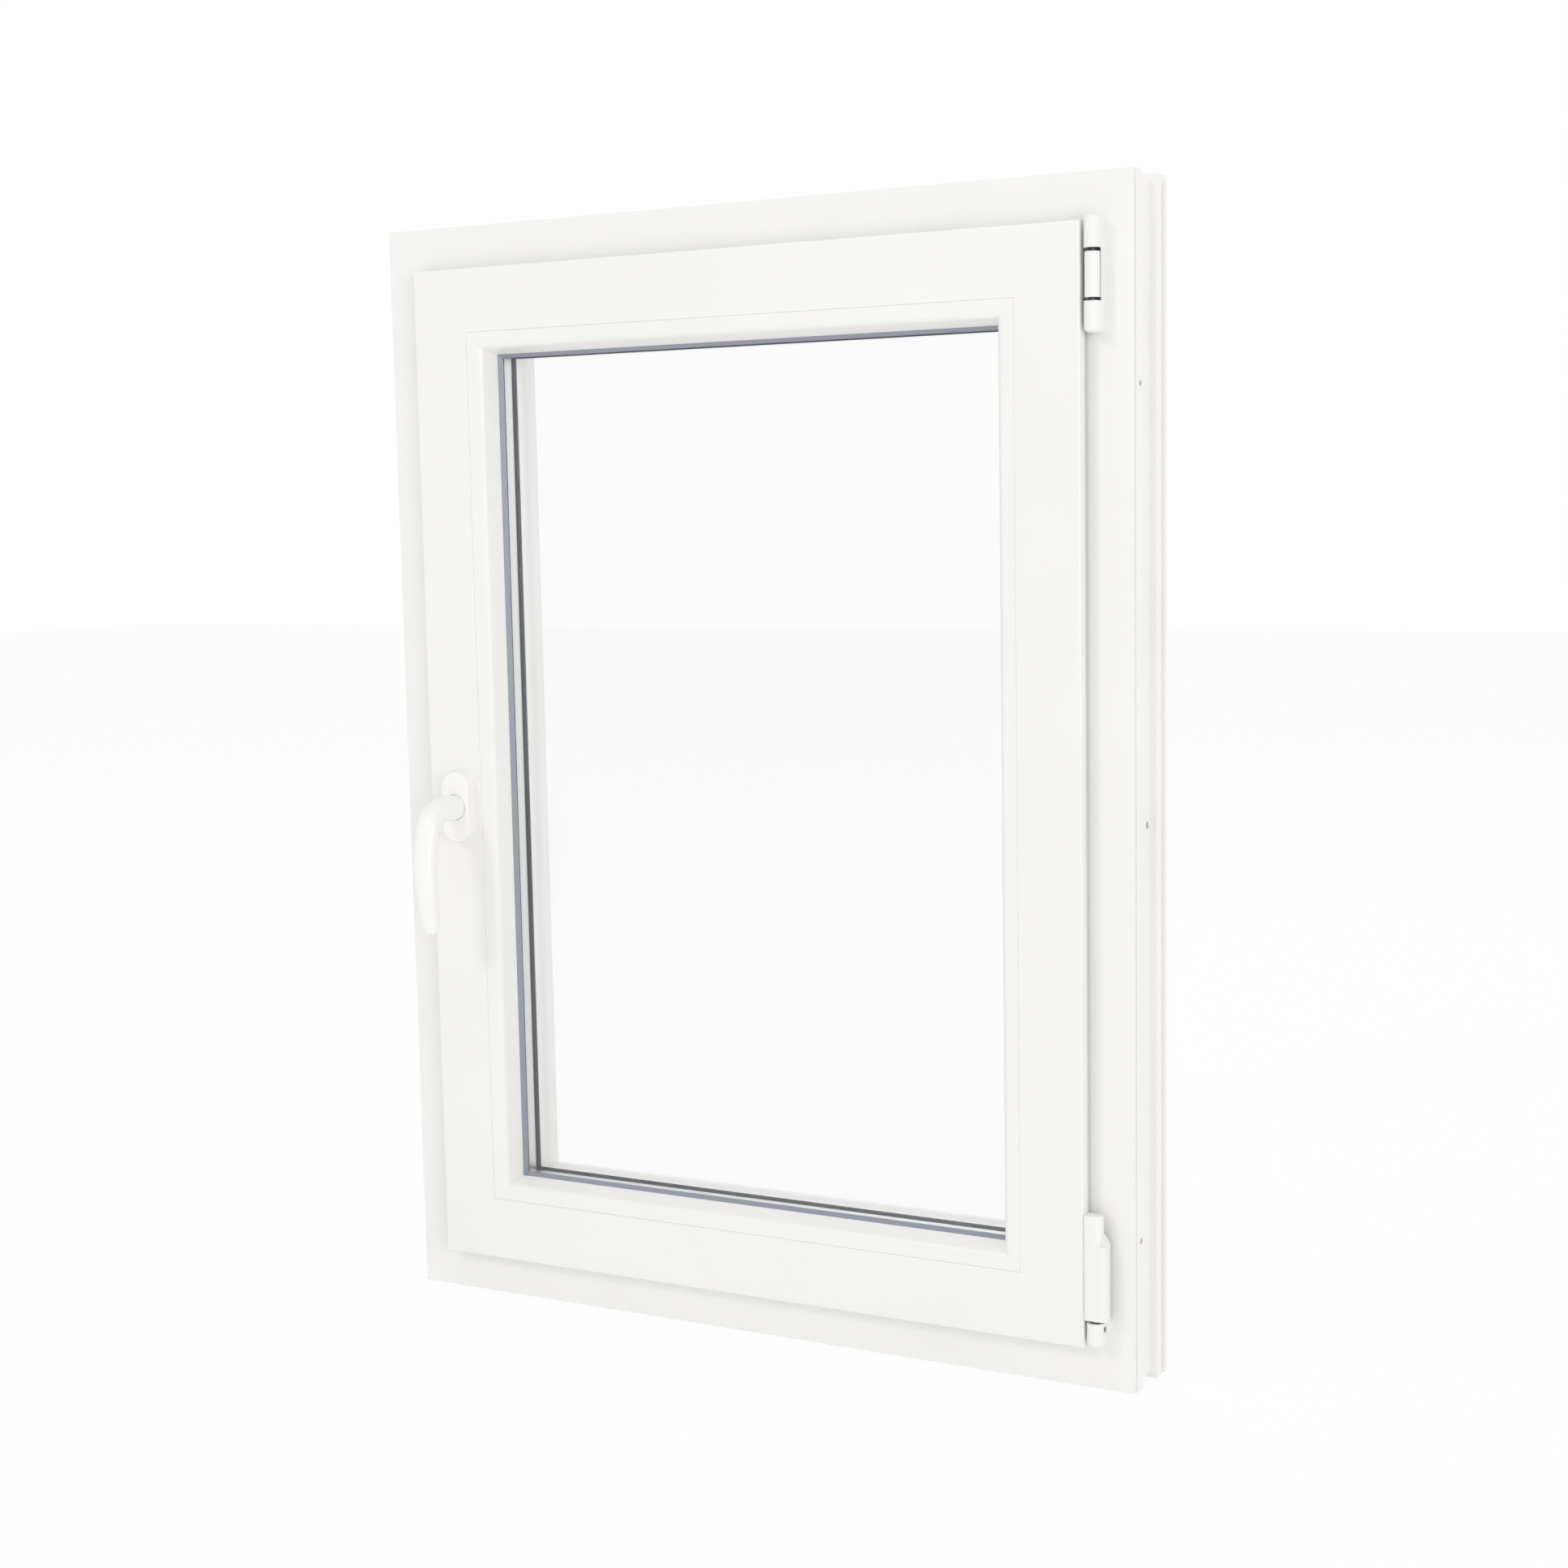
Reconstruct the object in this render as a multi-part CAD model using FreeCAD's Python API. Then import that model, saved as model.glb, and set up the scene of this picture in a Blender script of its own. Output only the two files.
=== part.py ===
# Tilt-and-turn casement window: white plastic frame and sash, double glazing, hinges on the right
# as seen from the room, handle on the left.
#
# Millimetres. X runs to the right, Y from the room to the outside, Z up. Y = 0 is the room-side
# face of the outer frame, and the origin is at the middle of the frame's underside on that face.
#
# Frame and sash are bars of one section each. A section is drawn in (u, y), where u is the
# distance from the outer edge of the frame towards the middle of the window. A bar is built
# lying down, with s along its length, and then set on its side of the window.
import FreeCAD, Part
import math
import os

V = FreeCAD.Vector

# ---------------------------------------------------------------- driving dimensions
WIDTH = 720.0               # outer frame
HEIGHT = 975.0
FRAME_DEPTH = 70.0
SASH_DEPTH = 82.0
REVEAL = 38.0               # frame face left visible around the sash
SASH_PROUD = 17.0           # sash face in front of the frame face
LIP_THICKNESS = 10.0        # sash overlap
LIP_WIDTH = 20.0            # overlap, from its edge to the sash core
AIR_GAP = 12.0              # between the frame rebate and the sash core
HARDWARE_AXIS = 13.0        # groove centre behind the back of the overlap
SASH_FACE = 56.0            # from the overlap's edge to the bead
BEAD_SLOPE = 14.5           # bead front, from joint to nose
BEAD_UNDERSIDE = 5.0        # bead, from nose to the glass
BEAD_DEPTH = 21.0
PANE = 4.0
PANE_GAP = 14.0
GASKET = 4.0                # thickness between bead and glass
BACKSET = 15.0              # faceplate to handle spindle
HANDLE_HEIGHT = 458.0
SCREW_SPACING = 43.0        # handle screws
TURN_AXIS_OUT = 9.0         # hinge line, to the right of the sash edge
TURN_AXIS_FRONT = 13.0      # hinge line, in front of the frame face
TILT_AXIS_Z = 47.0
STAY_REACH = 350.0          # from the hinge line to the sliding pin
PINION_TEETH = 12
PINION_PITCH_R = 9.2
WALL = 3.0                  # plastic walls of the bars
STEEL = 1.5                 # steel tube walls

# ---------------------------------------------------------------- derived places
REBATE_U = REVEAL + LIP_WIDTH - AIR_GAP
CORE_U = REVEAL + LIP_WIDTH
BEAD_U = REVEAL + SASH_FACE
SIGHT_U = BEAD_U + BEAD_SLOPE + BEAD_UNDERSIDE
SASH_FRONT = -SASH_PROUD
LIP_BACK = SASH_FRONT + LIP_THICKNESS
SASH_REAR = SASH_FRONT + SASH_DEPTH
STOP_FRONT = 48.0           # room side of the frame's outer stop
STOP_U = 67.0
STEP_U = STOP_U + 4.0       # where the sash reaches its full depth, clear of the stop
STEP_REAR = STOP_FRONT - 5.0
GROOVE_Y = LIP_BACK + HARDWARE_AXIS
PLATE_WIDTH = 16.0
PLATE_THICKNESS = 2.5
ROD_WIDTH = 12.0
GROOVE_FLOOR_U = CORE_U + 6.5
GLASS_FRONT = SASH_FRONT + BEAD_DEPTH + GASKET
GLASS_BACK = GLASS_FRONT + 2 * PANE + PANE_GAP
LEG_FRONT = GLASS_BACK + 3.0
GLASS_U = BEAD_U + 5.0
GASKET_U = SIGHT_U + 3.2
SPACER_U = (107.5, 114.5)
AXIS_X = WIDTH / 2 - REVEAL + TURN_AXIS_OUT
AXIS_Y = -TURN_AXIS_FRONT
SPINDLE_U = CORE_U + BACKSET
SPINDLE_X = -WIDTH / 2 + SPINDLE_U
SASH_HALF = WIDTH / 2 - REVEAL
CORE_HALF = WIDTH / 2 - CORE_U
CORE_TOP = HEIGHT - CORE_U
FRAME_FIXING_HEIGHTS = (125.0, 812.0)
FRAME_FIXING_Y = 13.0
FRAME_FIXING_R = 2.5
MIDDLE_FIXING = (39.0, 462.0)           # y and height
MIDDLE_FIXING_R = 3.0
CLEAR = 0.3
LONG = 2000.0

LOCK_CAM_Z = 790.0          # cam places with the window locked
TOP_CAM_X = -200.0
BOTTOM_CAM_X = -230.0
ROD_TRAVEL = math.pi * PINION_PITCH_R
SPIGOT_R = 3.0
STAY_SPIGOT_HEIGHTS = (859.0, 929.0)
REST_SPIGOT_HEIGHT = 50.0
# Distances s along each side, from its middle; s runs up on the right side and down on the left.
KEEP_PLACES = {"left": HEIGHT / 2 - LOCK_CAM_Z, "top": -TOP_CAM_X, "bottom": BOTTOM_CAM_X + 14}
KEEP_HALF_LENGTH = 30.0
KEEP_HALF_WIDTH = 9.0
KEEP_THICKNESS = 2.0
KEEP_SCREW_REACH = 25.0
KEEP_SCREW_R = 2.1
KEEP_SCREW_LENGTH = 14.0
KEEP_SCREW_Y = GROOVE_Y + 3
PLATE_SCREW_PLACES = {"left": [HEIGHT / 2 - z for z in (98.0, 250.0, 700.0)],
                      "top": [-100.0, -250.0], "bottom": [180.0, 250.0], "right": []}
HINGE_SCREW_PLACES = [(y, z) for y in (20.0, 28.0) for z in (78.0, 128.0)]


# ---------------------------------------------------------------- plain shapes
def box(x0, x1, y0, y1, z0, z1):
    return Part.makeBox(x1 - x0, y1 - y0, z1 - z0, V(x0, y0, z0))


def rod_z(r, x, y, z0, z1):
    return Part.makeCylinder(r, z1 - z0, V(x, y, z0), V(0, 0, 1))


def rod_y(r, x, z, y0, y1):
    return Part.makeCylinder(r, y1 - y0, V(x, y0, z), V(0, 1, 0))


def rod_x(r, y, z, x0, x1):
    return Part.makeCylinder(r, x1 - x0, V(x0, y, z), V(1, 0, 0))


def outline(points, to_space):
    """A closed wire through points (a, b) or (a, b, corner radius)."""
    flat = [V(p[0], p[1], 0) for p in points]
    radii = [p[2] if len(p) > 2 else 0.0 for p in points]
    starts, ends, middles = [], [], []
    for i, corner in enumerate(flat):
        before = (flat[i - 1] - corner).normalize()
        after = (flat[(i + 1) % len(flat)] - corner).normalize()
        half = before.getAngle(after) / 2
        reach = radii[i] / math.tan(half)
        bisector = (before + after).normalize() if radii[i] else V()
        starts.append(corner + before * reach)
        ends.append(corner + after * reach)
        middles.append(corner + bisector * (radii[i] / math.sin(half) - radii[i]))
    edges = []
    for i in range(len(flat)):
        if radii[i]:
            arc = Part.Arc(to_space(starts[i]), to_space(middles[i]), to_space(ends[i]))
            edges.append(arc.toShape())
        following = starts[(i + 1) % len(flat)]
        if (following - ends[i]).Length > 1e-6:
            edges.append(Part.makeLine(to_space(ends[i]), to_space(following)))
    return Part.Wire(edges)


def slab_xy(points, z0, z1):
    face = Part.Face(outline(points, lambda p: V(p.x, p.y, z0)))
    return face.extrude(V(0, 0, z1 - z0))


def slab_xz(points, y0, y1):
    face = Part.Face(outline(points, lambda p: V(p.x, y0, p.y)))
    return face.extrude(V(0, y1 - y0, 0))


def slab_yz(points, x0, x1):
    face = Part.Face(outline(points, lambda p: V(x0, p.x, p.y)))
    return face.extrude(V(x1 - x0, 0, 0))


def screw(head, way, length, shank=2.0, head_r=3.6, head_depth=1.5):
    """Countersunk screw with its head's middle at head, driven along way."""
    cone = Part.makeCone(head_r, shank, head_depth, head, way)
    return cone.fuse(Part.makeCylinder(shank, length, head, way))


def join(shapes):
    return shapes[0].multiFuse(shapes[1:]).removeSplitter() if len(shapes) > 1 else shapes[0]


def cut(shape, tools):
    return shape.cut(Part.Compound(tools))


def rounded(shape, radius, wanted):
    """Round the edges for which wanted(edge) is true."""
    return shape.makeFillet(radius, [e for e in shape.Edges if wanted(e)])


# ---------------------------------------------------------------- bars on the four sides
SIDES = {"bottom": (0.0, V(0, 0, 0), WIDTH), "right": (-90.0, V(WIDTH / 2, 0, HEIGHT / 2), HEIGHT),
         "top": (180.0, V(0, 0, HEIGHT), WIDTH), "left": (90.0, V(-WIDTH / 2, 0, HEIGHT / 2), HEIGHT)}


def set_on(side, shape):
    """Move a shape from bar space (s, y, u) to its side of the window."""
    angle, place, _ = SIDES[side]
    return shape.transformed(FreeCAD.Placement(place, FreeCAD.Rotation(V(0, 1, 0), angle)).toMatrix())


def bar(side, section, chambers=(), tools=(), setback=0.0):
    """A mitred bar of the given section. setback opens each mitre by that much."""
    length = SIDES[side][2]
    faces = [Part.Face(outline(points, lambda p: V(-length / 2, p.y, p.x)))
             for points in (section, *chambers)]
    body, *hollows = [face.extrude(V(length, 0, 0)) for face in faces]
    body = body.cut(hollows) if hollows else body
    reach = 150.0
    half = length / 2 - setback
    mitre = slab_xz([(-half, 0), (half, 0), (half - reach, reach), (reach - half, reach)], -90, 190)
    body = body.common(mitre)
    for tool in tools:
        body = body.cut(tool)
    return set_on(side, body)


def rectangle(u0, u1, y0, y1, r=0.0):
    return [(u0, y0, r), (u1, y0, r), (u1, y1, r), (u0, y1, r)]


def ring(section, setback=0.0):
    return [bar(side, section, setback=setback) for side in SIDES]


def frame_ring(u0, u1, y0, y1):
    """One closed rectangular ring between distances u0 and u1 from the frame's edge."""
    outer = box(u0 - WIDTH / 2, WIDTH / 2 - u0, y0, y1, u0, HEIGHT - u0)
    return outer.cut(box(u1 - WIDTH / 2, WIDTH / 2 - u1, y0, y1, u1, HEIGHT - u1))


def keep_screw_places(side):
    centres = [KEEP_PLACES[side]] if side in KEEP_PLACES else []
    return [centre + offset for centre in centres for offset in (-KEEP_SCREW_REACH, KEEP_SCREW_REACH)]


# ---------------------------------------------------------------- outer frame
RECESS = (16.0, 46.0, 5.0)          # wide recess in the outer side: from, to, deep
REAR_GROOVE = (56.5, 63.5, 3.0)     # groove near the outside face
EDGE_GROOVE = (1.0, 4.2, 1.6)       # narrow groove beside the room-side edge


def outer_side(*grooves):
    """Points down the outer side of the frame section, from the outside face to the room face."""
    points = []
    for y0, y1, deep in grooves:
        points += [(0, y1), (deep, y1), (deep, y0), (0, y0)]
    return points


FRAME_SECTION = [(0, 0), (REBATE_U, 0, 1.5), (REBATE_U, STOP_FRONT), (STOP_U, STOP_FRONT, 1.0),
                 (STOP_U, FRAME_DEPTH, 1.5), (0, FRAME_DEPTH, 1.0),
                 *outer_side(REAR_GROOVE, RECESS, EDGE_GROOVE)]
MAIN_CHAMBER_U = RECESS[2] + WALL
FRAME_CHAMBERS = [rectangle(WALL, REBATE_U - WALL, WALL, RECESS[0] - WALL, 1.0),
                  rectangle(MAIN_CHAMBER_U, REBATE_U - WALL, RECESS[0], RECESS[1], 1.0),
                  rectangle(MAIN_CHAMBER_U, STOP_U - WALL, STOP_FRONT + WALL, FRAME_DEPTH - WALL, 1.0)]


def frame_bars():
    parts = {}
    for name, side, up in (("head", "top", 0), ("sill", "bottom", 0),
                           ("jamb_lock", "left", -1), ("jamb_hinge", "right", 1)):
        inside = REBATE_U + 1
        holes = [rod_z(KEEP_SCREW_R, s, KEEP_SCREW_Y, REBATE_U - KEEP_SCREW_LENGTH, inside)
                 for s in keep_screw_places(side)]
        if up:
            for height in FRAME_FIXING_HEIGHTS:
                holes.append(rod_z(FRAME_FIXING_R, up * (height - HEIGHT / 2), FRAME_FIXING_Y, -1, inside))
            middle_y, middle_height = MIDDLE_FIXING
            holes.append(rod_z(MIDDLE_FIXING_R, up * (middle_height - HEIGHT / 2), middle_y, -1, inside))
        if side == "right":
            for height in (*STAY_SPIGOT_HEIGHTS, REST_SPIGOT_HEIGHT):
                holes.append(rod_y(SPIGOT_R + 0.05, height - HEIGHT / 2, WIDTH / 2 - AXIS_X, -1, 12.5))
        parts["frame_" + name] = bar(side, FRAME_SECTION, FRAME_CHAMBERS, holes)
    slots = [slab_xz([(s - 14, 0, 2), (s + 14, 0, 2), (s + 14, 5, 2), (s - 14, 5, 2)], 0, 4)
             for s in (-200.0, 200.0)]
    for slot in slots:
        slot.translate(V(0, FRAME_DEPTH - 4, 20))
        parts["frame_sill"] = parts["frame_sill"].cut(slot)
    return parts


def steel_bars(u0, u1, y0, y1, end_gap, fixing_clearance=False):
    """Square steel tube in the main chamber of each bar, sawn short of the mitres."""
    tubes = []
    for side, (_, _, length) in SIDES.items():
        half = length / 2 - end_gap
        bore = box(-half, half, y0 + STEEL, y1 - STEEL, u0 + STEEL, u1 - STEEL)
        tube = box(-half, half, y0, y1, u0, u1).cut(bore)
        if fixing_clearance and side in ("left", "right"):
            up = 1 if side == "right" else -1
            tube = tube.cut(rod_z(4.0, up * (MIDDLE_FIXING[1] - HEIGHT / 2), MIDDLE_FIXING[0], 0, 60))
        tubes.append(set_on(side, tube))
    return tubes


def frame_seal():
    tip = STEP_REAR + 0.5
    return ring([(60.5, STOP_FRONT), (65.5, STOP_FRONT), (64.5, tip, 1.0), (61.0, tip, 1.0)])


def drain_caps():
    caps = []
    for x in (-200.0, 200.0):
        cover = slab_xz([(x - 17, 17, 3), (x + 17, 17, 3), (x + 17, 28, 3), (x - 17, 28, 3)],
                        FRAME_DEPTH, FRAME_DEPTH + 2.5)
        tongue = box(x - 12, x + 12, FRAME_DEPTH - 2.5, FRAME_DEPTH, 21, 24)
        caps.append(cover.fuse(tongue))
    return caps


# ---------------------------------------------------------------- sash
PLATE_HALF = PLATE_WIDTH / 2 + 0.2
ROD_HALF = ROD_WIDTH / 2 + 0.5
PLATE_U = CORE_U + PLATE_THICKNESS + 0.1
SASH_SECTION = [(REVEAL, SASH_FRONT, 1.8), (BEAD_U, SASH_FRONT, 0.6), (BEAD_U, LEG_FRONT),
                (SIGHT_U, LEG_FRONT, 0.8), (SIGHT_U, SASH_REAR, 2.0), (STEP_U, SASH_REAR, 1.0),
                (STEP_U, STEP_REAR), (CORE_U, STEP_REAR, 1.0),
                (CORE_U, GROOVE_Y + PLATE_HALF), (PLATE_U, GROOVE_Y + PLATE_HALF),
                (PLATE_U, GROOVE_Y + ROD_HALF), (GROOVE_FLOOR_U, GROOVE_Y + ROD_HALF),
                (GROOVE_FLOOR_U, GROOVE_Y - ROD_HALF), (PLATE_U, GROOVE_Y - ROD_HALF),
                (PLATE_U, GROOVE_Y - PLATE_HALF), (CORE_U, GROOVE_Y - PLATE_HALF),
                (CORE_U, LIP_BACK), (REVEAL, LIP_BACK, 1.5)]
SASH_CHAMBERS = [rectangle(CORE_U - 17, CORE_U, SASH_FRONT + WALL, LIP_BACK - WALL, 0.8),
                 rectangle(CORE_U + WALL, BEAD_U - WALL, SASH_FRONT + WALL, -4.7, 0.8),
                 rectangle(GROOVE_FLOOR_U + 2.5, BEAD_U - WALL, -2.0, 14.4, 0.8),
                 rectangle(CORE_U + WALL, BEAD_U - WALL, 17.0, LEG_FRONT - 2.0, 0.8),
                 rectangle(STEP_U + WALL, SIGHT_U - WALL, LEG_FRONT + WALL, SASH_REAR - WALL, 0.8)]
BEAD_GROOVE = (-7.0, -4.0)
GEARBOX_HALF = 75.0
HANDLE_S = HEIGHT / 2 - HANDLE_HEIGHT
SLIDE_PIN_X = AXIS_X - STAY_REACH
SLIDE_TRAVEL = 13.5


def sash_bars():
    parts = {}
    for name, side in (("top_rail", "top"), ("bottom_rail", "bottom"),
                       ("lock_stile", "left"), ("hinge_stile", "right")):
        tools = [box(-LONG, LONG, BEAD_GROOVE[0], BEAD_GROOVE[1], BEAD_U - 2.2, BEAD_U)]
        tools += [rod_z(2.0, s, GROOVE_Y, CORE_U, CORE_U + 8.5) for s in PLATE_SCREW_PLACES[side]]
        if side == "right":
            tools += [rod_z(2.0, z - HEIGHT / 2, y, CORE_U - 1, CORE_U + 5)
                      for y, z in HINGE_SCREW_PLACES]
        if name == "lock_stile":
            tools.append(box(HANDLE_S - GEARBOX_HALF - 1, HANDLE_S + GEARBOX_HALF + 1, -2.0, 14.2,
                             GROOVE_FLOOR_U - 1, BEAD_U - WALL))
            tools.append(rod_y(6.5, HANDLE_S, SPINDLE_U, SASH_FRONT - 1, 0))
            for offset in (-SCREW_SPACING / 2, SCREW_SPACING / 2):
                tools.append(rod_y(5.0, HANDLE_S + offset, SPINDLE_U, SASH_FRONT - 1, 0))
        if name == "top_rail":
            s = -SLIDE_PIN_X
            tools.append(box(s - SLIDE_TRAVEL - 6, s + 6, GROOVE_Y - 6.0, GROOVE_Y + 6.0,
                             GROOVE_FLOOR_U - 1, GROOVE_FLOOR_U + 6.5))
        parts["sash_" + name] = bar(side, SASH_SECTION, SASH_CHAMBERS, tools)
    return parts


def sash_seal():
    """Seal under the sash overlap, left out where the hinge leaves pass through."""
    bars = ring([(REVEAL + 1.6, LIP_BACK), (REVEAL + 6, LIP_BACK), (REVEAL + 5.5, -1.2, 1.0),
                 (REVEAL + 0.8, -1.2, 1.0)])
    passages = [box(SASH_HALF - 12, SASH_HALF, LIP_BACK, 0, 62, 143),
                box(SASH_HALF - 12, SASH_HALF, LIP_BACK, 0, 873, 926)]
    return [cut(b, passages) for b in bars]


# ---------------------------------------------------------------- glazing
NOSE_U = BEAD_U + BEAD_SLOPE
BEAD_BACK = SASH_FRONT + BEAD_DEPTH
BEAD_SECTION = [(BEAD_U, SASH_FRONT + 0.6, 0.5), (NOSE_U, SASH_FRONT + 1.0, 6.0),
                (SIGHT_U, BEAD_BACK - 0.5, 0.4), (SIGHT_U - 0.5, BEAD_BACK), (BEAD_U, BEAD_BACK)]
BEAD_CHAMBER = [(BEAD_U + 2, SASH_FRONT + 3.5), (NOSE_U - 2, SASH_FRONT + 4),
                (SIGHT_U - 3.5, BEAD_BACK - 2), (BEAD_U + 2, BEAD_BACK - 2)]


def beads():
    tongue = rectangle(BEAD_U - 2.0, BEAD_U, BEAD_GROOVE[0] + 0.2, BEAD_GROOVE[1] - 0.2)
    names = {"top": "bead_top", "bottom": "bead_bottom", "left": "bead_lock_side", "right": "bead_hinge_side"}
    return {names[side]: join([bar(side, BEAD_SECTION, [BEAD_CHAMBER]), bar(side, tongue, setback=20.0)])
            for side in SIDES}


def glazing():
    parts = {}
    parts["bead_gasket"] = ring([(SIGHT_U - 6, BEAD_BACK), (SIGHT_U - 0.5, BEAD_BACK, 0.5),
                                 (GASKET_U, GLASS_FRONT - 0.8, 0.4), (GASKET_U, GLASS_FRONT),
                                 (SIGHT_U - 6, GLASS_FRONT)])
    parts["outer_glazing_gasket"] = ring([(SIGHT_U - 6, GLASS_BACK), (GASKET_U, GLASS_BACK),
                                          (GASKET_U, GLASS_BACK + 1.2, 0.5), (SIGHT_U - 0.3, LEG_FRONT),
                                          (SIGHT_U - 6, LEG_FRONT)])
    half = WIDTH / 2 - GLASS_U
    inner_back = GLASS_FRONT + PANE
    outer_front = inner_back + PANE_GAP
    parts["inner_pane"] = [box(-half, half, GLASS_FRONT, inner_back, GLASS_U, HEIGHT - GLASS_U)]
    parts["outer_pane"] = [box(-half, half, outer_front, GLASS_BACK, GLASS_U, HEIGHT - GLASS_U)]
    butyl = 1.2
    u0, u1 = SPACER_U
    parts["glass_spacer"] = [frame_ring(u0, u1, inner_back + butyl, outer_front - butyl)]
    backing = frame_ring(GLASS_U, u0, inner_back, outer_front)
    lines = [frame_ring(u0, u1 + 0.4, y, y + butyl) for y in (inner_back, outer_front - butyl)]
    parts["glass_edge_seal"] = [join([backing] + lines)]
    blocks = []
    for side, (_, _, length) in SIDES.items():
        for s in (-length / 2 + BEAD_U + 70, length / 2 - BEAD_U - 70):
            block = box(s - 50, s + 50, GLASS_FRONT - 1, GLASS_BACK + 1, BEAD_U, GLASS_U)
            blocks.append(set_on(side, block))
    parts["glazing_blocks"] = blocks
    return parts


# ---------------------------------------------------------------- upper hinge and stay arm
UPPER_COVER = (915.3, 941.0)
STAY_KNUCKLE = (877.5, 912.5)
LOWER_COVER = (851.0, 875.0)
BETWEEN_CAPS = (LOWER_COVER[1], UPPER_COVER[0])
KNUCKLE_R = 4.6
COVER_R = 6.5
PIN_R = 3.0
LEAF_Y = (-6.0, -3.5)
ARM_Z = (921.0, 923.5)
ARM_HALF = 7.0


def cap_points(r):
    """Round in front of the hinge line, straight back to the frame face."""
    left, right, front = AXIS_X - r, AXIS_X + r, AXIS_Y - r
    return [(left, front, r - 0.2), (right, front, r - 0.2), (right, 0), (left, 0)]


def rounded_end(body, z, radius):
    """Round the free edges of a cap's end face at height z."""
    return rounded(body, radius, lambda e: all(abs(v.Z - z) < 1e-6 for v in e.Vertexes)
                   and any(v.Y < -0.1 for v in e.Vertexes))


def hinge_cover(z0, z1, round_end):
    """Cap over a frame-side barrel: round in front, straight back to the frame face."""
    low = round_end < 0
    body = rounded_end(slab_xy(cap_points(COVER_R), z0, z1), z0 if low else z1, 4.0)
    inner = KNUCKLE_R + CLEAR
    floor = z0 + 2.0 if low else z0 - 1
    roof = z1 + 1 if low else z1 - 2.0
    return cut(body, [rod_z(inner, AXIS_X, AXIS_Y, floor, roof),
                      box(AXIS_X - inner, AXIS_X + inner, AXIS_Y, 0, floor, roof)])


def stay_bearing_covers():
    """Two caps joined by a wall that closes the side behind the stay's barrel."""
    z0, z1 = BETWEEN_CAPS
    wall = box(AXIS_X + KNUCKLE_R + CLEAR, AXIS_X + COVER_R, AXIS_Y + 3, 0, z0 - 1, z1 + 1)
    wall = wall.cut(rod_z(COVER_R - 0.1, AXIS_X, AXIS_Y, z0, z1))
    return join([hinge_cover(*UPPER_COVER, 1), hinge_cover(*LOWER_COVER, -1), wall])


def stay_bearing():
    """Steel bracket on the frame face with two barrels; its spigots sit in the jamb."""
    pieces = [box(AXIS_X, AXIS_X + KNUCKLE_R, -2.5, 0, LOWER_COVER[0] + 3, UPPER_COVER[1] - 3)]
    for z0, z1 in ((LOWER_COVER[0] + 3, LOWER_COVER[1]), (UPPER_COVER[0], UPPER_COVER[1] - 3)):
        pieces.append(rod_z(KNUCKLE_R, AXIS_X, AXIS_Y, z0, z1))
        pieces.append(box(AXIS_X - 2, AXIS_X + KNUCKLE_R, AXIS_Y, 0, z0, z1))
    pieces += [rod_y(SPIGOT_R, AXIS_X, z, -2.5, 12.0) for z in STAY_SPIGOT_HEIGHTS]
    return cut(join(pieces), [rod_z(PIN_R, AXIS_X, AXIS_Y, LOWER_COVER[0] + 5, UPPER_COVER[1])])


def stay_hinge_pin():
    return rod_z(PIN_R, AXIS_X, AXIS_Y, LOWER_COVER[0] + 5, UPPER_COVER[1] - 4)


def stay_arm():
    barrel = rod_z(KNUCKLE_R, AXIS_X, AXIS_Y, *STAY_KNUCKLE)
    web = box(AXIS_X - KNUCKLE_R, AXIS_X - 1, AXIS_Y, LEAF_Y[1], *STAY_KNUCKLE)
    leaf = box(CORE_HALF + 2, AXIS_X - 1, LEAF_Y[0], LEAF_Y[1], *STAY_KNUCKLE)
    riser = box(CORE_HALF + 2, CORE_HALF + 10, LEAF_Y[0], LEAF_Y[1], STAY_KNUCKLE[0], ARM_Z[1])
    root = CORE_HALF + 10
    far_y = GROOVE_Y + ARM_HALF
    near_y = GROOVE_Y - ARM_HALF
    tip = [(root, LEAF_Y[0]), (root, far_y), (SLIDE_PIN_X, far_y), (SLIDE_PIN_X, near_y),
           (CORE_HALF - 20, near_y), (CORE_HALF - 16, LEAF_Y[0])]
    flat = slab_xy(tip, *ARM_Z)
    end = rod_z(ARM_HALF, SLIDE_PIN_X, GROOVE_Y, *ARM_Z)
    arm = join([barrel, web, leaf, riser, flat, end])
    return cut(arm, [rod_z(PIN_R + 0.06, AXIS_X, AXIS_Y, 800, 950),
                     rod_z(PIN_R, SLIDE_PIN_X, GROOVE_Y, ARM_Z[0], ARM_Z[1])])


def stay_arm_cover():
    z0, z1 = STAY_KNUCKLE
    body = rounded(rod_z(6.0, AXIS_X, AXIS_Y, z0, z1), 0.6, lambda e: e.Closed)
    return cut(body, [rod_z(KNUCKLE_R + 0.15, AXIS_X, AXIS_Y, z0 - 1, z1 + 1),
                      box(AXIS_X - 6.5, AXIS_X - 0.5, AXIS_Y + 0.5, 0, z0 - 1, z1 + 1)])


def stay_slide_pin():
    """Pin riveted in the arm's tip; it runs in the slot of the sash's top plate."""
    shank = rod_z(PIN_R, SLIDE_PIN_X, GROOVE_Y, ARM_Z[0] - 14.5, ARM_Z[1])
    return shank.fuse(rod_z(5.0, SLIDE_PIN_X, GROOVE_Y, ARM_Z[1], ARM_Z[1] + 1.2))


# ---------------------------------------------------------------- lower hinge
REST_COVER = (40.0, 60.0)
REST_COVER_R = 7.2
BALL_R = 3.0
STEM_R = 2.2
BUSH_R = 4.5
CUP_R = 5.8
CUP_Z = (41.8, 56.0)
BUSH_Z = (43.1, 50.5)
ADJUSTER = (2.8, -10.5, 54.5)       # hole for the adjusting key: radius, y and height
CORNER_COVER = (62.3, 124.5, 149.5)
CORNER_BARREL = (66.0, 122.0)


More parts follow.
